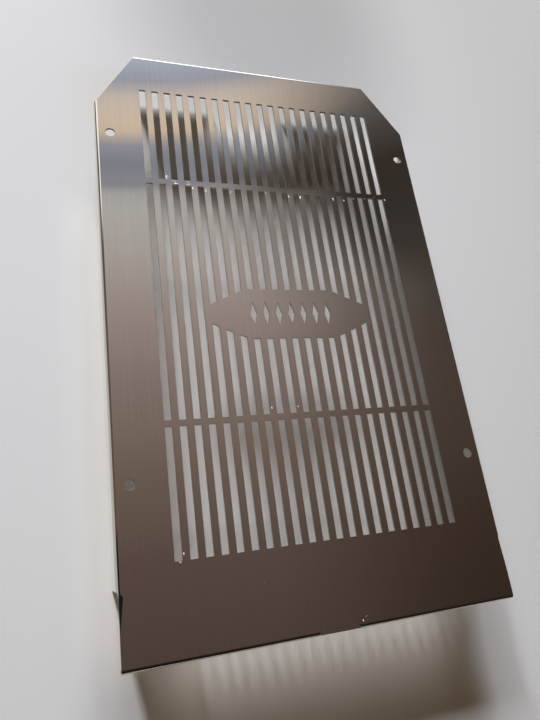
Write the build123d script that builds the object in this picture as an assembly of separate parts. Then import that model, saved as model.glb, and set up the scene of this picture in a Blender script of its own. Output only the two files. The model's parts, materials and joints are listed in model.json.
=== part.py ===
from build123d import *
import math
import os

# Radiator guard: one sheet of stainless steel, cut, slotted and folded.
# Millimetres. X runs across the guard, Y along it towards the end with cut corners, Z up out of the face.
# The guard lies on the edges of its side flanges at Z = 0, with the origin under the middle of its box.

# Sheet and folds
sheet = 1.2
bend_inner = 1.0

# Face
panel_width = 207.6
panel_length = 343.3
face_height = 33.0
corner_cut_across = 25.8
corner_cut_along = 40.6

# Bare end below the side flanges, and the curl that each fold leaves in its edge
bare_length = 33.3
bare_inset = 1.0
curl_length = 19.0
curl_width = 3.4
curl_drop = 0.9

# Lip folded down along the low end, in two halves beside a gap where the face runs on flat
low_lip_depth = 10.0
low_lip_gap = 21.0
low_lip_proud = 0.4

# Lip folded down along the top end, with a notch in the middle of its free edge
top_lip_depth = 27.5
notch_width = 50.0
notch_height = 13.5

# Slots: a short row at each end and a long row between them
slot_width = 3.75
slot_pitch = 7.5
slot_side_margin = 25.0
slot_top_margin = 26.6
slot_low_margin = 42.9
short_row = 63.5
cross_bar = 3.4

# Plain island in the long row, with a row of lozenge cut-outs on the slot pitch
island_columns = 13
island_height = 30.0
island_corner_columns = 3
island_corner_height = 10.0
island_below_middle = 12.0
lozenge_count = 7
lozenge_height = 14.0

# Fastening holes, one near each corner
hole_diameter = 5.5
hole_edge = 8.5
hole_below_corner_cut = 19.8
hole_above_low_end = 79.8

# Sizes that follow
bend_outer = bend_inner + sheet
half = panel_width / 2
top = panel_length / 2
low = -panel_length / 2
face_under = face_height - sheet
fold_under = face_height - bend_outer
cut_slope = corner_cut_along / corner_cut_across
bare_half = half - bare_inset
flange_low = low + bare_length
curl_end = flange_low - curl_length
lip_reach = 2 * bend_outer


def across(y):
    """Plane that stands across the guard at a place along it, with X to the right and Z up."""
    return Plane(origin=(0, y, 0), x_dir=(1, 0, 0), z_dir=(0, -1, 0))


def slab(width, y_from, y_to):
    """Flat stretch of the face, centred across the guard."""
    place = Pos(0, (y_from + y_to) / 2, face_under)
    return place * Box(width, y_to - y_from, sheet, align=(Align.CENTER, Align.CENTER, Align.MIN))


def hood(width, height, radius):
    """Filled outline of the folded section: a rectangle on the ground with rounded shoulders."""
    outline = Rectangle(width, height, align=(Align.CENTER, Align.MIN))
    return fillet(outline.vertices().group_by(Axis.Y)[-1], radius)


def channel():
    """Face with its two side flanges, from the low end of the flanges to the fold of the top lip."""
    hollow = hood(panel_width - 2 * sheet, face_under, bend_inner)
    section = hood(panel_width, face_height, bend_outer) - hollow
    start = top - bend_outer
    return extrude(across(start) * section, start - flange_low)


def lip(depth):
    """Lip along the low end, over its whole width, with a short leg of the face beyond its fold."""
    leg = Rectangle(lip_reach, depth, align=(Align.MIN, Align.MAX))
    outer = fillet(leg.vertices().group_by(Axis.Y)[-1].sort_by(Axis.X)[0], bend_outer)
    inner = fillet(leg.vertices().group_by(Axis.Y)[-1].sort_by(Axis.X)[0], bend_inner)
    section = outer - Pos(sheet, -sheet) * inner
    return extrude(Plane.YZ * Pos(low, face_height) * section, bare_half, both=True)


def curl():
    """Strip of the right-hand bare edge that bends down beside the end of the fold and runs out flat."""

    def section(y, drop):
        start = bare_half - curl_width
        middle = bare_half - curl_width / 2
        upper = Bezier((start, face_height), (middle, face_height), (bare_half, face_height - drop))
        lower = Bezier((bare_half, face_under - drop), (middle, face_under), (start, face_under))
        return across(y) * make_face([upper, Line(upper @ 1, lower @ 0), lower, Line(lower @ 1, upper @ 0)])

    return loft([section(flange_low, curl_drop), section(curl_end, 0)])


def low_end():
    """Bare end of the face below the flanges: flat plate, curled edges, and the lip beside its gap."""
    plate = slab(2 * bare_half, low + bend_outer, curl_end)
    plate += slab(2 * (bare_half - curl_width), curl_end, flange_low)
    plate += slab(low_lip_gap, low + low_lip_proud, low + lip_reach)
    edge = curl()
    gap = Pos(0, low, face_height) * Box(low_lip_gap, 2 * bend_outer, 2 * low_lip_depth)
    return plate + edge + mirror(edge, about=Plane.YZ) + (lip(low_lip_depth) - gap)


def top_end():
    """Lip along the top end, with its notch."""
    notch = Pos(0, top, face_height - top_lip_depth) * Box(notch_width, 2 * bend_outer, 2 * notch_height)
    return mirror(lip(top_lip_depth), about=Plane.XZ) - notch


def corner_cut():
    """One straight cut across the right-hand corner of the face, followed down the side flange."""
    run = corner_cut_across
    rise = corner_cut_along
    outside = (half + run, top + rise)
    beyond = Polyline((half - 2 * run, top + rise), (half + run, top - 2 * rise), outside, close=True)
    face_cut = extrude(make_face(beyond), face_height)
    start = top - rise
    foot = start - fold_under * cut_slope
    side = Polyline((start, fold_under), (foot, 0), (top, 0), (top, fold_under), close=True)
    flange_cut = extrude(Plane.YZ.offset(half - bend_outer) * make_face(side), bend_outer)
    return face_cut + flange_cut


def slot_outlines():
    """Outlines of the slots, cut short round the island, and of the lozenges in it."""
    side_columns = math.floor((half - slot_side_margin - slot_width / 2) / slot_pitch)
    columns = GridLocations(slot_pitch, 1, 2 * side_columns + 1, 1)
    first = low + slot_low_margin
    last = top - slot_top_margin
    long_first = first + short_row + cross_bar
    long_last = last - short_row - cross_bar
    slots = Sketch()
    for start, stop in ((first, first + short_row), (long_first, long_last), (last - short_row, last)):
        slots += Pos(0, (start + stop) / 2) * columns * Rectangle(slot_width, stop - start)
    middle = Pos(0, (long_first + long_last) / 2 - island_below_middle)
    width = island_columns * slot_pitch
    blunt = Rectangle(width, island_height - 2 * island_corner_height)
    flat = Rectangle(width - 2 * island_corner_columns * slot_pitch, island_height)
    island = make_hull((blunt + flat).edges())
    thick = Line((-slot_width / 2, 0), (slot_width / 2, 0))
    tall = Line((0, -lozenge_height / 2), (0, lozenge_height / 2))
    lozenges = GridLocations(slot_pitch, 1, lozenge_count, 1) * make_hull([thick, tall])
    return slots - middle * island + [middle * lozenge for lozenge in lozenges]


def hole_outlines():
    """Outlines of the four fastening holes."""
    upper = top - corner_cut_along - hole_below_corner_cut
    lower = low + hole_above_low_end
    spots = GridLocations(panel_width - 2 * hole_edge, upper - lower, 2, 2)
    return Pos(0, (upper + lower) / 2) * spots * Circle(hole_diameter / 2)


def guard():
    """The whole folded sheet as one solid."""
    body = channel() + low_end() + top_end()
    cut = corner_cut()
    body = body - cut - mirror(cut, about=Plane.YZ)
    openings = Sketch() + slot_outlines() + hole_outlines()
    return body - extrude(Pos(0, 0, face_under) * openings, sheet)


os.makedirs("parts", exist_ok=True)
sheet_guard = guard()
export_step(sheet_guard, "parts/guard.step")
print("guard", round(sheet_guard.volume), "cubic mm,", sheet_guard.bounding_box().size)
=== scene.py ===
# %% [markdown]
# # A radiator guard of polished stainless steel
#
# The real guard is one flat sheet. A laser cuts its outline, its rows of long slots and its four
# fastening holes, and a press then folds a flange down along each side and a lip along each end. The
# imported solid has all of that, and this lesson dresses it: the same sheet is folded again with finer
# bends and softened edges, and it gets the bright finish of polished steel under plain studio light.

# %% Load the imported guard
import json

import bmesh
import bpy
import numpy as np
from mathutils import Matrix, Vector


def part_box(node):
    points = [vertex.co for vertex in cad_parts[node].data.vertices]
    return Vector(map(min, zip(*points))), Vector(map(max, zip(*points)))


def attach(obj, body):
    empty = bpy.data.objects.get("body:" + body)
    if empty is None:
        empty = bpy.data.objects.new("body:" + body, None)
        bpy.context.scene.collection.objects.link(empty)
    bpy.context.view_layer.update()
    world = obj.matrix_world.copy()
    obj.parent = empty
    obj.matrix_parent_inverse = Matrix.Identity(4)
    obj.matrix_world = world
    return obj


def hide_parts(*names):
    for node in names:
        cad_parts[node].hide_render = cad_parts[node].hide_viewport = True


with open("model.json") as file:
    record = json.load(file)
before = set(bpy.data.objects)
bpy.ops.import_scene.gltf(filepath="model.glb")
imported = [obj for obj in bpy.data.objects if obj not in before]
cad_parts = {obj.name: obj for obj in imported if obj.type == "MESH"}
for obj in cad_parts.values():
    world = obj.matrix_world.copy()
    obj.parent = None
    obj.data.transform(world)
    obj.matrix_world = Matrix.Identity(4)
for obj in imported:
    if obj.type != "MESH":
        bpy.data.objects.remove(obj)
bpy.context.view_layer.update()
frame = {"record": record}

# %% [markdown]
# ## Sizes
#
# Everything here is in millimetres until a mesh is made. The outer sizes and the holes are read from
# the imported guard, so that the sheet is folded to the very size of the solid. What a box can't tell,
# such as the slot pitch, could be measured on the solid's mesh. It is simpler to name it here once,
# with the value that the solid was cut to.

# %% Sizes of the sheet
MM = 0.001
lowest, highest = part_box("guard")
width, length, height = (highest - lowest) / MM

# Thickness of the sheet, and the outer radius of every fold.
sheet, bend = 1.2, 2.2
# The straight cut across each top corner.
corner_across, corner_along = 25.8, 40.6
# The bare end below the side flanges, and the curl that each fold leaves in its edge.
bare_length, bare_inset = 33.3, 1.0
curl_length, curl_width, curl_drop, curl_fan = 19.0, 3.4, 0.9, 2.6
# The low lip in two halves, the gap where the face runs on flat, and the thin cut between them.
low_lip, low_gap, low_proud, relief = 10.0, 21.0, 0.4, 0.12
# The top lip and the notch in the middle of its free edge.
top_lip, notch_width, notch_height = 27.5, 50.0, 13.5

# Lines of the flat pattern that follow from these.
half, top, low = width / 2, length / 2, -length / 2
fold_line = half - bend
low_line, top_line = low + bend, top - bend
low_end = low - (low_lip - bend)
top_end = top + top_lip - bend
notch_line = top_end - notch_height
top_half = half - corner_across
flange_edge = half + height - bend
flange_low = low + bare_length
bare_half = half - bare_inset
cut_slope = corner_along / corner_across
print(f"sheet {width:.1f} x {length:.1f} mm, {height:.1f} mm high")

# %% Sizes of the slots and holes
slot, pitch, side_columns = 3.75, 7.5, 10
low_margin, top_margin = 42.9, 26.6
short_row, cross_bar = 63.5, 3.4
first_row, last_row = low + low_margin, top - top_margin
long_first = first_row + short_row + cross_bar
long_last = last_row - short_row - cross_bar
island_below = 12.0
island_middle = (long_first + long_last) / 2 - island_below
island_columns, island_corner_columns = 13, 3
island_height, island_corner_height = 30.0, 10.0
lozenge_columns, lozenge_height = 3, 14.0
holes = frame["record"]["mounts"][0]
hole_radius = holes["dims"]["hole_r_mm"]
hole_side = holes["dims"]["spacing_x_mm"] / 2
hole_rows = holes["pos_m"][1] / MM + np.array([-0.5, 0.5]) * holes["dims"]["spacing_y_mm"]
print(f"slots {slot} mm on {pitch} mm, holes {2 * hole_radius} mm at {hole_rows.round(2)}")

# %% [markdown]
# ## The flat pattern
#
# Before it is folded, the sheet is a flat piece with holes in it. It could be drawn by hand and cut
# with booleans, but those leave long thin triangles that shade badly on a mirror. Here the pattern
# is a grid instead: lines across and along the sheet run through every edge that gets cut, and a
# cell of the grid is either steel or open. The corner cuts, the island and its lozenges slant, so
# some rows of the grid follow them.

# %% Lines of the grid
# Places less than a hair apart are the same place, and a speck keeps a division from failing.
hair, speck = 1e-6, 1e-9
end_bend = np.linspace(0, 1, 11)
bend_lines, strip_lines, curl_lines = 6, 5, 15
# A line close past each side bend keeps the flange flat.
flange_start = half + 0.5
hole_patch, patch_cells, open_cells = 4.2, 12, 8
patch = np.linspace(-1, 1, patch_cells + 1) * hole_patch
columns = np.arange(side_columns + 1) * pitch


def with_lines(kept, extra, apart=0.25):
    """The kept lines, and those of the extra ones that lie further than a small step from all of them."""
    kept = np.unique(np.round(np.concatenate([np.ravel(k) for k in kept]), 4))
    extra = np.unique(np.round(np.concatenate([np.ravel(e) for e in extra]), 4))
    far = np.abs(extra[:, None] - kept[None, :]).min(1) > apart
    return np.unique(np.concatenate([kept, extra[far]]))


below = with_lines(
    [low_end, low, low + low_proud, low_line, np.linspace(flange_low - curl_length, flange_low, curl_lines),
     first_row, hole_rows[0] + patch, first_row + short_row, long_first],
    [low + bend * end_bend])
above = with_lines(
    [long_last, last_row - short_row, hole_rows[1] + patch, last_row, top_line, top, notch_line, top_end],
    [top_line + bend * end_bend])
crossings = half - (above[above <= top + hair] - top + corner_along) / cut_slope
right = with_lines(
    [columns - slot / 2, columns + slot / 2, columns[: lozenge_columns + 1],
     low_gap / 2 + relief * np.array([-0.5, 0.5]), notch_width / 2, top_half, hole_side + patch[[0, -1]],
     np.linspace(bare_half - curl_width, fold_line, strip_lines),
     np.linspace(fold_line, bare_half, bend_lines), np.linspace(bare_half, half, bend_lines),
     flange_start, flange_edge],
    [hole_side + patch, crossings[crossings < flange_edge]])
across = np.unique(np.round(np.concatenate([-right, right]), 4))
print(len(across), "lines across,", len(below) + len(above), "straight rows along")


# %% Rows that follow the slants
def corner_line(u):
    """Where the straight corner cut crosses a line along the sheet; between the two cuts, nowhere."""
    cut = top - corner_along + cut_slope * (half - np.abs(u))
    return np.where(np.abs(u) > top_half + hair, cut, np.inf)


def island_reach(u):
    """Half height of the island: level in the middle, then falling in a straight line to its blunt ends."""
    corner = island_columns / 2 - island_corner_columns
    return np.interp(np.abs(u), [corner * pitch, island_columns / 2 * pitch],
                     [island_height / 2, island_height / 2 - island_corner_height])


def lozenge_reach(u):
    """Half height of a lozenge: a straight slope from its tip over a slot's middle to its side points."""
    column = np.clip(np.round(u / pitch), -lozenge_columns, lozenge_columns)
    return lozenge_height / 2 * np.clip(1 - np.abs(u - column * pitch) / (slot / 2), 0, None)


island = island_middle + np.stack([-island_reach(across), -lozenge_reach(across),
                                   lozenge_reach(across), island_reach(across)])
rows = np.concatenate([np.repeat(below[:, None], len(across), 1), island,
                       np.repeat(above[:, None], len(across), 1)])
flat_u = np.repeat(across[None, :], len(rows), 0)
flat_v = np.minimum(rows, corner_line(across))
print("grid of", flat_u.shape[0], "by", flat_u.shape[1], "points")


# %% Steel and open cells
def middle_of(grid):
    """Mean of the four corners of each cell."""
    return (grid[:-1, :-1] + grid[1:, :-1] + grid[:-1, 1:] + grid[1:, 1:]) / 4


u, v = middle_of(flat_u), middle_of(flat_v)
column = np.round(u / pitch)
in_column = (np.abs(u - column * pitch) < slot / 2) & (np.abs(column) <= side_columns)
in_low_row = (v > first_row) & (v < first_row + short_row)
in_long_row = (v > long_first) & (v < long_last)
in_far_row = (v > last_row - short_row) & (v < last_row)
on_island = (np.abs(v - island_middle) < island_reach(u)) & (np.abs(column) <= island_columns // 2)
in_slot = in_column & (in_low_row | in_far_row | (in_long_row & ~on_island))
in_lozenge = on_island & (np.abs(v - island_middle) < lozenge_reach(u))
in_gap = (v < low + low_proud) & (np.abs(u) < low_gap / 2 + relief / 2)
in_relief = (v < low_line) & (np.abs(np.abs(u) - low_gap / 2) < relief / 2)
in_notch = (v > notch_line) & (np.abs(u) < notch_width / 2)
below_flange = (v < flange_low) & (np.abs(u) > bare_half)
past_corner = v > corner_line(u) + hair
round_share = open_cells / patch_cells
from_hole = np.maximum(np.abs(np.abs(u) - hole_side), np.abs(v - np.where(v < 0, *hole_rows))) / hole_patch
in_hole = from_hole <= round_share
steel = ~(in_slot | in_lozenge | in_gap | in_relief | in_notch | below_flange | past_corner | in_hole)
print(steel.sum(), "cells of steel,", (~steel).sum(), "open or empty cells")

# %% [markdown]
# ### Round holes in a square grid
#
# A fastening hole is round, and the grid has only straight lines. A boolean could punch it, with the
# same thin triangles as before. Instead a square patch of cells lies round each hole. Its outer ring
# stays square, its inner ring is pulled onto the circle, and the rings between are mixed, so the
# lines of the grid fan out round the hole.

# %% Pull the square rings onto circles
side = np.sign(flat_u)
centre_v = np.where(flat_v < 0, *hole_rows)
du, dv = np.abs(flat_u) - hole_side, flat_v - centre_v
ring = np.maximum(np.abs(du), np.abs(dv)) / hole_patch
square_share = np.clip((ring - round_share) / (1 - round_share), 0, 1)
pull = (1 - square_share) * hole_radius / (np.hypot(du, dv) + speck) + square_share
# The outer ring of each patch stays where it is.
in_patch = ring < 0.999
flat_u = np.where(in_patch, side * (hole_side + du * pull), flat_u)
flat_v = np.where(in_patch, centre_v + dv * pull, flat_v)
print(int((in_patch & (square_share == 0)).sum()), "grid points lie on or in the four holes")

# %% Corners of the steel cells as one list of points
key = np.round(np.stack([flat_u.ravel(), flat_v.ravel()], 1), 3)
number = np.arange(flat_u.size).reshape(flat_u.shape)
cells = np.stack([number[:-1, :-1], number[:-1, 1:], number[1:, 1:], number[1:, :-1]], -1)[steel]
places, lookup = np.unique(key, axis=0, return_inverse=True)
cells = lookup.reshape(-1)[cells]
faces = np.concatenate([cells[:, [0, 1, 2]], cells[:, [0, 2, 3]]])
distinct = (faces != np.roll(faces, 1, axis=1)).all(1)
needed, faces = np.unique(faces[distinct], return_inverse=True)
pattern, faces = places[needed], faces.reshape(-1, 3)
print(len(pattern), "points and", len(faces), "triangles in the flat pattern")

# %% [markdown]
# ## The edge of the sheet
#
# Laser cutting leaves a square edge, and tumbling or a quick file takes off its burr, so that a
# narrow line runs round every slot. A Bevel modifier could do that. Here the border is found from
# the triangles themselves: an edge that only one triangle uses is a cut edge. Its points step
# inwards by the edge radius, and a small rounded profile is carried along it from skin to skin.

# %% Find the border and its inward direction
edges = np.concatenate([faces[:, [0, 1]], faces[:, [1, 2]], faces[:, [2, 0]]])
codes = edges[:, 0] * len(pattern) + edges[:, 1]
mates = edges[:, 1] * len(pattern) + edges[:, 0]
border = edges[~np.isin(codes, mates)]
step = pattern[border[:, 1]] - pattern[border[:, 0]]
outward = np.stack([step[:, 1], -step[:, 0]], 1) / np.linalg.norm(step, axis=1)[:, None]
total = np.zeros_like(pattern)
np.add.at(total, border[:, 0], outward)
np.add.at(total, border[:, 1], outward)
# Twice the sum of both edges' directions, over the square of its length, lies one step in from both edges.
inward = -2 * total / np.maximum((total ** 2).sum(1), speck)[:, None]
inward[np.abs(total).sum(1) < speck] = 0
print(len(border), "border edges,", int((np.bincount(border[:, 0]) > 1).sum()), "points where borders touch")


# %% [markdown]
# ## Folding
#
# A press brake bends the sheet along straight lines over a small radius. Cloth tools or a Simple
# Deform modifier could bend a mesh, but a fold is an exact thing: past its line a point runs round
# a quarter circle and then straight down. Below each side flange the sheet is bare, and the end of
# the fold leaves a short curl in its edge that runs out flat.

# %% Fold the pattern
def quarter_fold(past):
    """Run along the face and drop below it for a point that lies past a fold line: a quarter circle
    of the bend radius, then straight down."""
    angle = np.clip(past / bend, 0, 1) * np.pi / 2
    return bend * np.sin(angle), bend * (1 - np.cos(angle)) + np.clip(past - bend, 0, None)


def fold(u, v):
    """Place of a point of the flat pattern on the folded sheet's outer skin.

    Side flanges: past the fold line the point follows the quarter fold. Below the flange the share
    of that fold fades out over a short fan, and a curl remains: its drop grows with the square of the
    way into the edge strip, and along the edge both the drop and the strip shrink in a straight line.
    Lips: the same quarter fold along the two ends, apart from the gap in the middle of the low end,
    which stays flat.
    """
    out = np.abs(u)
    run, drop = quarter_fold(np.clip(out - fold_line, 0, None))
    fade = np.clip((v - flange_low + curl_fan) / curl_fan, 0, 1)
    share = fade * fade * (3 - 2 * fade)
    along = np.clip((flange_low - v) / curl_length, 0, 1)
    # The end of the strip is a little past 1, so that the division holds where the curl has run out.
    strip = np.clip((out - bare_half + curl_width) / curl_width - along, 0, None) / (1.001 - along)
    x = np.where(out > fold_line, share * (fold_line + run) + (1 - share) * out, out)
    z = -share * drop - (1 - share) * curl_drop * (1 - along) * strip ** 2
    low_run, low_drop = quarter_fold(np.where(out > low_gap / 2, np.clip(low_line - v, 0, None), 0))
    top_run, top_drop = quarter_fold(np.clip(v - top_line, 0, None))
    flat_low = np.where(out > low_gap / 2, low_line, v)
    y = np.where(v < low_line, flat_low - low_run, np.where(v > top_line, top_line + top_run, v))
    return np.stack([np.sign(u) * x, y, height + z - low_drop - top_drop], -1)


def skin(points, nudge=1e-3):
    """Points of the outer skin with the two directions in the sheet and the direction out of it,
    from small steps to either side."""
    u, v = points.T
    along_u = fold(u + nudge, v) - fold(u - nudge, v)
    along_v = fold(u, v + nudge) - fold(u, v - nudge)
    ways = [d / np.linalg.norm(d, axis=1)[:, None] for d in (along_u, along_v, np.cross(along_u, along_v))]
    return fold(u, v), *ways


folded = fold(*pattern.T)
print("folded sheet spans", folded.min(0).round(2), "to", folded.max(0).round(2))

# %% [markdown]
# ### Two skins and the edge between them
#
# The outer and inner skins are the same triangles, one sheet thickness apart. A Solidify modifier
# could give the thickness, but not the rounded edge: here a profile is swept along every border,
# between the skins. Shading normals are given for each corner, so the flat skins stay truly flat
# right up to the rounded edge, which matters on a mirror.

# %% Layers of points from the outer skin to the inner one
edge_radius, edge_steps = 0.08, 3
bow = np.linspace(0, np.pi / 2, edge_steps + 1)
profile_in = edge_radius * (1 - np.sin(bow))
profile_down = edge_radius * (1 - np.cos(bow))
profile_in = np.concatenate([profile_in, profile_in[::-1]])
profile_down = np.concatenate([profile_down, sheet - profile_down[::-1]])
profile_tilt = np.concatenate([bow, np.pi - bow[::-1]])

border_points = np.unique(border)
layers, layer_number = [], []
for step_in, down in zip(profile_in, profile_down):
    whole_skin = down == 0 or down == sheet
    chosen = np.arange(len(pattern)) if whole_skin else border_points
    spot, _, _, out = skin(pattern[chosen] + step_in * inward[chosen])
    index = np.full(len(pattern), -1)
    index[chosen] = sum(map(len, layers)) + np.arange(len(chosen))
    layers.append(spot - down * out)
    layer_number.append(index)
points = np.concatenate(layers) * MM
print(len(points), "points in", len(layers), "layers")

# %% Walls of the edge between the layers
tail, head = border.T
walls, wall_normals = [], []
for n in range(len(layers) - 1):
    upper, lower = layer_number[n:n + 2]
    tilt_above, tilt_below = profile_tilt[n:n + 2]
    walls.append(np.stack([upper[tail], lower[tail], lower[head], upper[head]], 1))
    corners = []
    for end, tilt in ((tail, tilt_above), (tail, tilt_below), (head, tilt_below), (head, tilt_above)):
        _, in_u, in_v, out = skin(pattern[end] + 0.5 * edge_radius * inward[end])
        away = outward[:, :1] * in_u + outward[:, 1:] * in_v
        corners.append(np.cos(tilt) * out + np.sin(tilt) * away)
    wall_normals.append(np.stack(corners, 1))
walls, wall_normals = np.concatenate(walls), np.concatenate(wall_normals)
print(len(walls), "edge faces")


# %% Make the sheet a mesh
def show(name, data):
    """A new object with this data, linked into the scene."""
    thing = bpy.data.objects.new(name, data)
    bpy.context.scene.collection.objects.link(thing)
    return thing


outer, inner = layer_number[0][faces], layer_number[-1][faces][:, ::-1]
_, _, _, out = skin(pattern + edge_radius * inward)
normals = np.concatenate([out[faces].reshape(-1, 3), -out[faces[:, ::-1]].reshape(-1, 3),
                          wall_normals.reshape(-1, 3)])
loops = np.concatenate([outer.ravel(), inner.ravel(), walls.ravel()])
counts = np.concatenate([np.full(len(outer) + len(inner), 3), np.full(len(walls), 4)])
pattern_of = np.zeros((len(points), 2))
for index in layer_number:
    pattern_of[index[index >= 0]] = pattern[index >= 0]

mesh = bpy.data.meshes.new("guard_sheet")
mesh.vertices.add(len(points))
mesh.vertices.foreach_set("co", points.astype(np.float32).ravel())
mesh.loops.add(len(loops))
mesh.loops.foreach_set("vertex_index", loops.astype(np.int32))
mesh.polygons.add(len(counts))
mesh.polygons.foreach_set("loop_start", (np.cumsum(counts) - counts).astype(np.int32))
mesh.polygons.foreach_set("material_index", (counts == 4).astype(np.int32))
mesh.update(calc_edges=True)
mesh.polygons.foreach_set("use_smooth", np.ones(len(counts), bool))
pattern_map = mesh.uv_layers.new(name="flat_pattern")
pattern_map.data.foreach_set("uv", (pattern_of[loops] * MM).astype(np.float32).ravel())
mesh.normals_split_custom_set(normals.tolist())
guard = show("guard_sheet", mesh)
print("guard_sheet:", len(points), "points,", int((counts - 2).sum()), "triangles")

# %% [markdown]
# ## Finishes
#
# A finish is a tree of shader nodes. It could be laid out by hand in the shader editor, but a script
# can be read and changed line by line. One function turns an sRGB hex colour into the linear numbers
# that shaders use, one adds a node with its settings and links, and one starts an empty material.


# %% Helpers for materials
def linear(hex_colour):
    """Linear RGBA of an sRGB hex colour: each channel through the sRGB curve."""
    code = np.array([int(hex_colour[i:i + 2], 16) for i in (1, 3, 5)]) / 255
    return (*np.where(code <= 0.04045, code / 12.92, ((code + 0.055) / 1.055) ** 2.4), 1.0)


def add(tree, kind, settings=(), **sockets):
    """Adds a node. Settings are its own properties. A socket gets a value, or a link when it is given an
    output; it is named, or numbered after an underscore where a node has several of one name."""
    node = tree.nodes.new(kind)
    for name, value in dict(settings).items():
        setattr(node, name, value)
    for name, value in sockets.items():
        socket = node.inputs[int(name[1:])] if name[0] == "_" else node.inputs[name.replace("_", " ")]
        if isinstance(value, bpy.types.NodeSocket):
            tree.links.new(value, socket)
        else:
            socket.default_value = value
    return node


def new_material(name):
    """A new material with an empty node tree, and that tree."""
    material = bpy.data.materials.new(name)
    material.use_nodes = True
    material.node_tree.nodes.clear()
    return material, material.node_tree


print("middle grey #808080 is", round(float(linear("#808080")[0]), 3), "in linear light")

# %% [markdown]
# ### Bright polished stainless steel
#
# Cold-rolled 304 sheet is polished along its length until it mirrors the room. What is left to see
# is a faint lengthwise grain and some haze from handling. The grain could be painted into the
# colour, but on metal it lives in the gloss: thin streaks that are a little rougher and lean a
# little sideways.

# %% Polished steel
# To the eye it is a slightly warm mirror: it shows the room almost sharply, drawn out into thin streaks.
colours = {"data_type": "RGBA"}
scaled_sum = {"operation": "MULTIPLY_ADD"}
polished, tree = new_material("bright_polished_stainless")
where = add(tree, "ShaderNodeUVMap", {"uv_map": "flat_pattern"}).outputs["UV"]
# Grain lines are about 0.05 mm wide on the sheet. They are drawn 0.6 mm wide here, so that they show.
# The haze lies in patches some 60 mm wide.
grain_cell, grain_length, grain_depth, haze_cell = 1.2 * MM, 90 * MM, 0.2 * MM, 60 * MM
stretch = add(tree, "ShaderNodeMapping", Vector=where, Scale=(1 / grain_cell, 1 / grain_length, 1.0))
grain = add(tree, "ShaderNodeTexNoise", Vector=stretch.outputs["Vector"], Scale=1.0, Detail=3.0,
            Roughness=0.6).outputs["Fac"]
haze = add(tree, "ShaderNodeTexNoise", Vector=where, Scale=1 / haze_cell, Detail=3.0,
           Roughness=0.55).outputs["Fac"]
lines = add(tree, "ShaderNodeMapRange", Value=grain, From_Min=0.3, From_Max=0.7)
rough = add(tree, "ShaderNodeMapRange", Value=grain, From_Min=0.3, From_Max=0.7, To_Min=0.014, To_Max=0.03)
clouded = add(tree, "ShaderNodeMath", scaled_sum, _0=haze, _1=0.014, _2=rough.outputs["Result"])
lean = add(tree, "ShaderNodeBump", Strength=0.02, Distance=grain_depth, Height=grain)
tint = add(tree, "ShaderNodeMix", colours, _0=lines.outputs["Result"], _6=linear("#D6D2CC"),
           _7=linear("#DCD8D2"))
shader = add(tree, "ShaderNodeBsdfPrincipled", Base_Color=tint.outputs[2], Metallic=1.0,
             Roughness=clouded.outputs["Value"], Normal=lean.outputs["Normal"])
add(tree, "ShaderNodeOutputMaterial", Surface=shader.outputs["BSDF"])
print("made", polished.name)

# %% [markdown]
# ### Laser-cut edge
#
# The polish doesn't reach into the cut, which keeps the dull skin and the fine stripes that the laser
# left. It could wear the same steel as the faces, but then a thin mirror would glare round every
# slot. So the edge gets a steel of its own, darker and rougher, with a roughness that varies.

# %% Laser-cut edge
# To the eye it is a soft grey line that hardly flashes. The laser's stripes are about 0.2 mm apart. They
# are drawn 0.8 mm apart here, so that they show.
stripe_cell = 0.8 * MM
cut_edge, tree = new_material("laser_cut_steel_edge")
where = add(tree, "ShaderNodeTexCoord").outputs["Object"]
stripes = add(tree, "ShaderNodeTexNoise", Vector=where, Scale=1 / stripe_cell, Detail=2.0).outputs["Fac"]
rough = add(tree, "ShaderNodeMapRange", Value=stripes, From_Min=0.3, From_Max=0.7, To_Min=0.36, To_Max=0.5)
shader = add(tree, "ShaderNodeBsdfPrincipled", Base_Color=linear("#A09C97"), Metallic=1.0,
             Roughness=rough.outputs["Result"])
add(tree, "ShaderNodeOutputMaterial", Surface=shader.outputs["BSDF"])
print("made", cut_edge.name)

# %% [markdown]
# ### Dress the sheet
#
# The skins and the cut edges got their numbers when the mesh was made, so each finish only needs its
# place in the mesh's list. The sheet then rides on the guard's one body and stands for the packed
# solid. The solid could be dressed itself, but its bends are coarse, and a mirror shows that.

# %% Dress the sheet
mesh.materials.append(polished)
mesh.materials.append(cut_edge)
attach(guard, "root")
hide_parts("guard")
print("guard_sheet wears", [material.name for material in mesh.materials])

# %% [markdown]
# ### Crumbs and dust
#
# Dried polish and dust have stayed at the ends of some slots and near the low end. Each crumb is a
# tiny ragged heap. Scattered particles could do this, but the crumbs sit at known places, so they
# are drawn one by one on a small round grid and joined into one mesh. Only the dust is left to chance.

# %% Shape of a heap
heap_rings, heap_turns = np.array([0, 0.35, 0.65, 0.88, 1.0, 0]), 14
heap_sunk, heap_rise, phase_step = 0.02, 0.14, 1.7


def heap(centre, size, phase):
    """Closed ragged heap on a round grid: the rim wanders in and out with the angle, the top is a low
    rippled dome, and the flat underside closes it just below the face. The first and last rings are
    single points."""
    ring, turn = np.meshgrid(heap_rings, np.linspace(0, 2 * np.pi, heap_turns, endpoint=False), indexing="ij")
    ragged = 1 + 0.3 * np.sin(3 * turn + phase) + 0.2 * np.sin(5 * turn + 2 * phase)
    ripple = np.where(ring > 0, 0.3 * np.sin(4 * turn + phase), 0)
    on_top = np.arange(len(heap_rings))[:, None] < len(heap_rings) - 1
    dome = np.where(on_top, (1 - ring ** 2) * (1 + ripple), 0)
    x = centre[0] + size[0] / 2 * ring * ragged * np.cos(turn)
    y = centre[1] + size[1] / 2 * ring * ragged * np.sin(turn)
    return np.stack([x, y, height - heap_sunk + heap_rise * min(size) * dome], -1).reshape(-1, 3)


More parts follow.
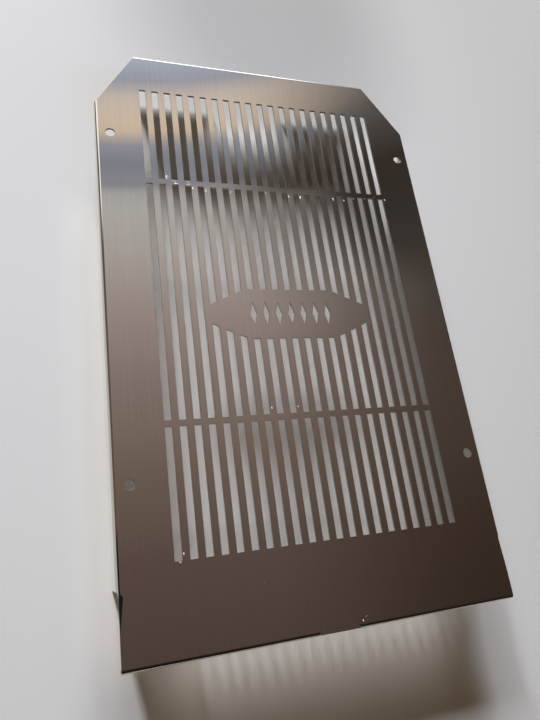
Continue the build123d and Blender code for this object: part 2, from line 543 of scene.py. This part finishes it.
print("a heap has", len(heap_rings), "rings of", heap_turns, "points")

# %% Places and sizes of the crumbs
# Each row is one crumb: its place across and along the guard, then its size across and along.
crumb_rows = np.array([
    (-64.6, 83.1, 1.5, 2.6), (-59.6, 78.9, 2.6, 0.9), (-60.4, 80.8, 2.8, 0.6), (-52.3, 80.8, 3.0, 0.6),
    (-52.2, 78.9, 2.4, 0.7), (-49.8, 76.5, 0.9, 1.8), (-42.2, 75.3, 1.0, 1.8), (-27.1, 75.4, 0.9, 1.6),
    (-4.6, 76.5, 0.7, 1.8), (10.2, 75.4, 0.8, 2.0), (17.9, 75.3, 1.0, 2.0), (40.4, 75.6, 1.0, 2.4),
    (47.9, 75.2, 0.9, 1.7), (55.3, 76.9, 0.6, 1.0), (63.2, 77.6, 0.6, 1.0), (70.6, 79.2, 0.6, 0.9),
    (78.2, 77.8, 1.0, 1.4), (-19.6, -58.5, 0.8, 1.3), (-4.6, -58.6, 0.7, 1.1), (-72.4, -125.8, 0.7, 1.4),
    (-74.4, -129.4, 1.4, 0.5), (12.6, -168.2, 0.6, 1.1), (14.6, -166.6, 0.5, 0.7)])
dust_count, dust_from, dust_to = 14, (-80, -166), (-35, -138)
dust_least, dust_most = 0.1, 0.24
chance = np.random.default_rng(7)
dust_spots = chance.uniform(dust_from, dust_to, (dust_count, 2))
dust_sizes = chance.uniform(dust_least, dust_most, (dust_count, 2))
spots = np.concatenate([crumb_rows[:, :2], dust_spots])
sizes = np.concatenate([crumb_rows[:, 2:], dust_sizes])
print(len(crumb_rows), "crumbs and", dust_count, "specks of dust")

# %% Join the heaps
heaps = np.stack([heap(c, s, phase_step * n) for n, (c, s) in enumerate(zip(spots, sizes))])
grid = np.arange(heaps.shape[1]).reshape(len(heap_rings), heap_turns)
onward = np.roll(grid, -1, 1)
quads = np.stack([grid[1:], onward[1:], onward[:-1], grid[:-1]], -1).reshape(-1, 4)
heap_faces = quads[None] + grid.size * np.arange(len(heaps))[:, None, None]
crumb_mesh = bpy.data.meshes.new("polish_crumbs")
crumb_mesh.from_pydata((heaps.reshape(-1, 3) * MM).tolist(), [], heap_faces.reshape(-1, 4).tolist())
# The points of a heap's first ring, and of its last, lie in one place and become one point.
touching = 1e-7
merged = bmesh.new()
merged.from_mesh(crumb_mesh)
bmesh.ops.remove_doubles(merged, verts=merged.verts, dist=touching)
open_edges = sum(not edge.is_manifold for edge in merged.edges)
merged.to_mesh(crumb_mesh)
merged.free()
crumbs = show("polish_crumbs", crumb_mesh)
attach(crumbs, "root")
print("polish_crumbs:", len(heaps), "heaps,", len(crumb_mesh.polygons), "faces,", open_edges, "open edges")

# %% [markdown]
# ### Dried polish
#
# Polish dries to a chalky crust. A plain white could stand for it, but even a small crumb is flecked
# where it dried thick or thin, so two whites are mixed by a fine noise.

# %% Dried polish
# To the eye it is matt and pale, and stands out on the mirror without any shine.
fleck_cell = 0.4 * MM
dried, tree = new_material("dried_polish")
where = add(tree, "ShaderNodeTexCoord").outputs["Object"]
mottle = add(tree, "ShaderNodeTexNoise", Vector=where, Scale=1 / fleck_cell, Detail=2.0)
crust = add(tree, "ShaderNodeMix", colours, _0=mottle.outputs["Fac"], _6=linear("#D6D2CA"),
            _7=linear("#F8F6F1"))
shader = add(tree, "ShaderNodeBsdfPrincipled", Base_Color=crust.outputs[2], Roughness=0.8)
add(tree, "ShaderNodeOutputMaterial", Surface=shader.outputs["BSDF"])
crumb_mesh.materials.append(dried)
print("made", dried.name)

# %% [markdown]
# ## The table top
#
# The guard lies on a table with a pale matt laminate. One even tone could do for it, but polished
# steel throws light on the table: under the guard, beside its left flange and in front of its low
# end the laminate is paler, and a soft shade lies beyond the far end. Tracing such light is slow and
# noisy, so these tones are painted, each bounded by smooth steps across or along the table.

# %% Table top
table_half = 6.0
table_corners = [(x * table_half, y * table_half, 0) for x, y in ((-1, -1), (1, -1), (1, 1), (-1, 1))]
floor_mesh = bpy.data.meshes.new("table_top")
floor_mesh.from_pydata(table_corners, [], [(0, 1, 2, 3)])
floor = show("table_top", floor_mesh)
print("table_top:", 2 * table_half, "m square")

# %% Smooth steps on the table
smooth = {"interpolation_type": "SMOOTHSTEP"}
laminate, tree = new_material("pale_laminate")
where = add(tree, "ShaderNodeTexCoord").outputs["Object"]
way = add(tree, "ShaderNodeSeparateXYZ", Vector=where)
x_way, y_way = way.outputs["X"], way.outputs["Y"]
sideways = add(tree, "ShaderNodeMath", {"operation": "ABSOLUTE"}, _0=x_way).outputs["Value"]
outwards = add(tree, "ShaderNodeVectorMath", {"operation": "LENGTH"}, _0=where).outputs["Value"]
# The soft shade beyond the far end is a spot, squeezed across the table.
shade_x, shade_y, shade_squeeze = 30 * MM, 280 * MM, 1.5
moved = add(tree, "ShaderNodeMapping", Vector=where, Location=(-shade_squeeze * shade_x, -shade_y, 0.0),
            Scale=(shade_squeeze, 1.0, 1.0))
from_shade = add(tree, "ShaderNodeVectorMath", {"operation": "LENGTH"}, _0=moved.outputs["Vector"])
share = {"everywhere": 1.0}
for name, value, start, stop in (
        ("round the shade", from_shade.outputs["Value"], 240, 60), ("past the far lip", y_way, 145, 165),
        ("inside the right flange", x_way, 104, 94), ("inside the left strip", x_way, -131, -85),
        ("past the low end", y_way, -195, -150), ("between the sides", sideways, 100, 60),
        ("past the lit front", y_way, -235, -185), ("short of the far end", y_way, 200, 185),
        ("short of the far row", y_way, 100, 60), ("at the left edge", x_way, -60, -72),
        ("out on the table", outwards, 550, 1400)):
    node = add(tree, "ShaderNodeMapRange", smooth, Value=value, From_Min=start * MM, From_Max=stop * MM)
    share[name] = node.outputs["Result"]
print(len(share) - 1, "smooth steps")

# %% Painted tones of the table
for name, operation, first, second in (
        ("shaded", "MULTIPLY", "round the shade", "past the far lip"),
        ("across", "MULTIPLY", "inside the right flange", "inside the left strip"),
        ("beneath", "MULTIPLY", "across", "past the low end"),
        ("in front", "MULTIPLY", "between the sides", "past the lit front"),
        ("lit", "MAXIMUM", "beneath", "in front"),
        ("lit", "MULTIPLY", "lit", "short of the far end")):
    node = add(tree, "ShaderNodeMath", {"operation": operation}, _0=share[first], _1=share[second])
    share[name] = node.outputs["Value"]
tone = {"laminate": linear("#C6C7C8"), "shade": linear("#AAABAC"), "steel glow": linear("#FDF9F2"),
        "lit laminate": linear("#E1DFDC"), "lit edge": linear("#F6F3EE")}
for name, blend_type, part, first, second in (
        ("open table", "MIX", "shaded", "laminate", "shade"),
        ("under the far row", "MULTIPLY", "everywhere", "open table", "steel glow"),
        ("under the other rows", "MIX", "at the left edge", "lit laminate", "lit edge"),
        ("under the guard", "MIX", "short of the far row", "under the far row", "under the other rows"),
        ("whole table", "MIX", "lit", "open table", "under the guard")):
    node = add(tree, "ShaderNodeMix", {"data_type": "RGBA", "blend_type": blend_type}, _0=share[part],
               _6=tone[first], _7=tone[second])
    tone[name] = node.outputs[2]
print(len(tone), "tones")

# %% Pale laminate
# To the eye it is a matt pale grey. Far out, where only the camera looks, it fades into the backdrop.
backdrop = linear("#DCDCDC")
matt = add(tree, "ShaderNodeBsdfPrincipled", Base_Color=tone["whole table"], Roughness=0.9,
           Specular_IOR_Level=0.2)
path = add(tree, "ShaderNodeLightPath")
seen_far = add(tree, "ShaderNodeMath", {"operation": "MULTIPLY"}, _0=path.outputs["Is Camera Ray"],
               _1=share["out on the table"])
far_table = add(tree, "ShaderNodeEmission", Color=backdrop)
surface = add(tree, "ShaderNodeMixShader", Fac=seen_far.outputs["Value"], _1=matt.outputs["BSDF"],
              _2=far_table.outputs["Emission"])
add(tree, "ShaderNodeOutputMaterial", Surface=surface.outputs["Shader"])
floor_mesh.materials.append(laminate)
print("made", laminate.name)

# %% [markdown]
# ## The studio
#
# A mirror shows what stands round it, so the studio is part of the finish. A picture of a room could
# be wrapped round the scene, but then its tones couldn't be set one by one. Here the room is worked
# out from the direction of a ray, whose parts run from -1 to 1: bands of wall that change along Y,
# from behind the low end to behind the far end, and patches bounded by smooth steps in X and Y.

# %% Bands of wall
world = bpy.data.worlds.new("studio")
bpy.context.scene.world = world
world.use_nodes = True
tree = world.node_tree
tree.nodes.clear()
toward = add(tree, "ShaderNodeTexCoord")
way = add(tree, "ShaderNodeSeparateXYZ", Vector=toward.outputs["Generated"])
x_way, y_way = way.outputs["X"], way.outputs["Y"]
along = add(tree, "ShaderNodeMapRange", Value=y_way, From_Min=-1.0, From_Max=1.0)
bands = {
    "pale": ((-0.9, "#181311"), (-0.45, "#2A241F"), (-0.2, "#4A3E37"), (0.0, "#594C47"), (0.14, "#6D5F57"),
             (0.29, "#837672"), (0.41, "#9A8E8B"), (0.5, "#ABA6A4"), (0.55, "#AFAFAD"), (0.575, "#AAA9AA"),
             (0.587, "#858590"), (0.595, "#8A8C97"), (0.612, "#7E8491"), (0.637, "#9697A2"),
             (0.646, "#CBBAA8"), (0.66, "#D1C1AF"), (0.678, "#CDC0B5"), (0.69, "#C4BAB5"),
             (0.702, "#9DA0AE"), (0.715, "#A3ACBF"), (0.74, "#BAC4D5")),
    "dark": ((-0.9, "#181311"), (-0.3, "#2A231E"), (0.0, "#3B3029"), (0.12, "#443B33"), (0.26, "#483F3A"),
             (0.42, "#403B37"), (0.5, "#35322F"), (0.57, "#362F2B"), (0.65, "#595756"), (0.75, "#7E8089"))}
wall = {}
for name, stops in bands.items():
    node = add(tree, "ShaderNodeValToRGB", Fac=along.outputs["Result"])
    elements = node.color_ramp.elements
    while len(elements) < len(stops):
        elements.new(0.5)
    for element, (level, colour) in zip(elements, stops):
        element.position, element.color = (level + 1) / 2, linear(colour)
    wall[name] = node.outputs["Color"]
print("walls:", {name: len(stops) for name, stops in bands.items()}, "bands")

# %% Border between the pale and the dark wall
# Each shift starts and stops at a level of the wall and draws the border in or out by a gain.
border_shifts = ((0.36, 0.54, 0.36), (0.545, 0.572, 0.3), (0.585, 0.625, -0.4))
widened = 1.0
for start, stop, gain in border_shifts:
    node = add(tree, "ShaderNodeMapRange", smooth, Value=y_way, From_Min=start, From_Max=stop)
    node = add(tree, "ShaderNodeMath", scaled_sum, _0=node.outputs["Result"], _1=gain, _2=widened)
    widened = node.outputs["Value"]
aside = add(tree, "ShaderNodeMath", {"operation": "MULTIPLY"}, _0=x_way, _1=widened).outputs["Value"]
print("the border shifts at", len(border_shifts), "levels of the wall")

# %% Smooth steps and patches in the studio
share = {}
for name, value, start, stop in (
        ("dark wall", aside, 0.26, 0.62), ("left half", x_way, 0.04, -0.04),
        ("left side", x_way, -0.05, -0.15), ("far left", x_way, -0.72, -0.88),
        ("behind the low end", y_way, -0.05, -0.3),
        ("hollow across", x_way, -0.12, -0.3), ("hollow along", y_way, 0.07, 0.03),
        ("lower pane across", x_way, -0.55, -0.35), ("lower pane along", y_way, 0.50, 0.58),
        ("upper pane across", x_way, -0.66, -0.56), ("upper pane along", y_way, 0.60, 0.66),
        ("window across", x_way, 0.43, 0.30), ("window along", y_way, 0.80, 0.88)):
    node = add(tree, "ShaderNodeMapRange", smooth, Value=value, From_Min=start, From_Max=stop)
    share[name] = node.outputs["Result"]
for name in ("hollow", "lower pane", "upper pane", "window"):
    node = add(tree, "ShaderNodeMath", {"operation": "MULTIPLY"}, _0=share[name + " along"],
               _1=share[name + " across"])
    share[name] = node.outputs["Value"]
print(len(share), "shares of the studio")

# %% The mirrored room
white = linear("#FFFFFF")
left_side = linear("#5A5048")
for part, colour in (("hollow", linear("#171B20")), ("far left", linear("#B4B0AA")), ("lower pane", white),
                     ("upper pane", white)):
    left_side = add(tree, "ShaderNodeMix", colours, _0=share[part], _6=left_side, _7=colour).outputs[2]
room = wall["pale"]
for part, colour in (("dark wall", wall["dark"]), ("left side", left_side), ("window", white)):
    room = add(tree, "ShaderNodeMix", colours, _0=share[part], _6=room, _7=colour).outputs[2]
wall_glow, window_glow, left_glow = 1.3, 2.0, 4.0
brighter = add(tree, "ShaderNodeMath", scaled_sum, _0=share["left half"], _1=left_glow, _2=window_glow)
glow = add(tree, "ShaderNodeMath", scaled_sum, _0=share["window"], _1=brighter.outputs["Value"], _2=wall_glow)
mirrored = add(tree, "ShaderNodeBackground", Color=room, Strength=glow.outputs["Value"])
print("the window glows", window_glow, "to", window_glow + left_glow, "over a wall of", wall_glow)

# %% [markdown]
# ### What other rays see
#
# Matt things would take on the colours of the mirrored room too, and its bright panes would blur
# their shadows. So only mirrored rays get that room. Other rays get a dim warm light from behind the
# low end, and the camera itself sees a plain pale backdrop.

# %% Studio world
path = add(tree, "ShaderNodeLightPath")
dim = add(tree, "ShaderNodeMix", colours, _0=share["behind the low end"], _6=linear("#000000"),
          _7=linear("#907655"))
soft = add(tree, "ShaderNodeMix", colours, _0=path.outputs["Is Camera Ray"], _6=dim.outputs[2], _7=backdrop)
ambient = add(tree, "ShaderNodeBackground", Color=soft.outputs[2], Strength=1.0)
sky = add(tree, "ShaderNodeMixShader", Fac=path.outputs["Is Glossy Ray"], _1=ambient.outputs["Background"],
          _2=mirrored.outputs["Background"])
add(tree, "ShaderNodeOutputWorld", Surface=sky.outputs["Shader"])
print("studio:", len(tree.nodes), "nodes")

# %% [markdown]
# ### Lamps
#
# The light comes from windows beyond the far end, which throw the stripes of the slots on the table.
# A sun lamp could do that, but it lights the whole table evenly. Three oblong soft boxes side by
# side, each with a narrow beam, give the slow fade of real windows. The mirror doesn't show them,
# because the studio holds a plain window in their place.

# %% Lamps
lamp_distance, lamp_elevation, lamp_colour = 2.3, 25, "#F8FAFF"


def facing(place, aim, roll=0.0):
    """Matrix of a lamp or camera that looks at an aim. Its third axis points back from the aim, its first
    lies level, and the roll then turns the first two, in degrees."""
    back = (place - aim) / np.linalg.norm(place - aim)
    level = np.cross([0, 0, 1], back)
    level /= np.linalg.norm(level)
    upright = np.cross(back, level)
    c, s = np.cos(np.radians(roll)), np.sin(np.radians(roll))
    turn = np.eye(4)
    turn[:3] = np.stack([c * level + s * upright, c * upright - s * level, back, place], 1)
    return Matrix(turn.tolist())


def soft_box(name, azimuth, size, power, aim, spread):
    """An oblong area lamp with a grid that narrows its beam. Azimuth 0 is over the far end, 90 over the
    right side. The beam is fullest at the aim and fades out at half the spread from it."""
    a, e = np.radians([azimuth, lamp_elevation])
    place = lamp_distance * np.array([np.sin(a) * np.cos(e), np.cos(a) * np.cos(e), np.sin(e)])
    data = bpy.data.lights.new(name, "AREA")
    data.shape, data.energy = "RECTANGLE", power
    data.size, data.size_y = size
    data.color, data.spread = linear(lamp_colour)[:3], np.radians(spread)
    lamp = show(name, data)
    lamp.matrix_world = facing(place, np.array(aim))
    lamp.visible_glossy = False
    print(f"{name}: {power} W from {azimuth} degrees")


soft_box("left_strip", -15.5, (0.17, 0.69), 4.1, (-0.4, 0.12, 0), 38)
soft_box("wide_window", -8, (0.64, 0.69), 4.1, (-0.4, 0.12, 0), 57)
soft_box("right_window", 12.5, (0.69, 0.69), 4.3, (0.4, 0.06, 0), 38)

# %% [markdown]
# ### Camera
#
# The guard is seen from close above its low left corner, through a wide lens held at a slant. Such a
# view could be set by eye, but a place, an aim on the face and a roll give the same picture each time.

# %% Camera
camera_place = np.array([-116.88, -127.91, 313.25]) * MM
camera_aim = np.array([-16.917, -31.621, 33.0]) * MM
camera_roll = 41.2645
camera_data = bpy.data.cameras.new("view")
camera_data.sensor_width, camera_data.lens = 36.0, 28.526
camera_data.clip_start = 0.01
camera = show("view", camera_data)
camera.matrix_world = facing(camera_place, camera_aim, camera_roll)
bpy.context.scene.camera = camera
bpy.context.scene.view_settings.view_transform = "Standard"
print(f"camera {np.linalg.norm(camera_place - camera_aim):.3f} m from its aim")
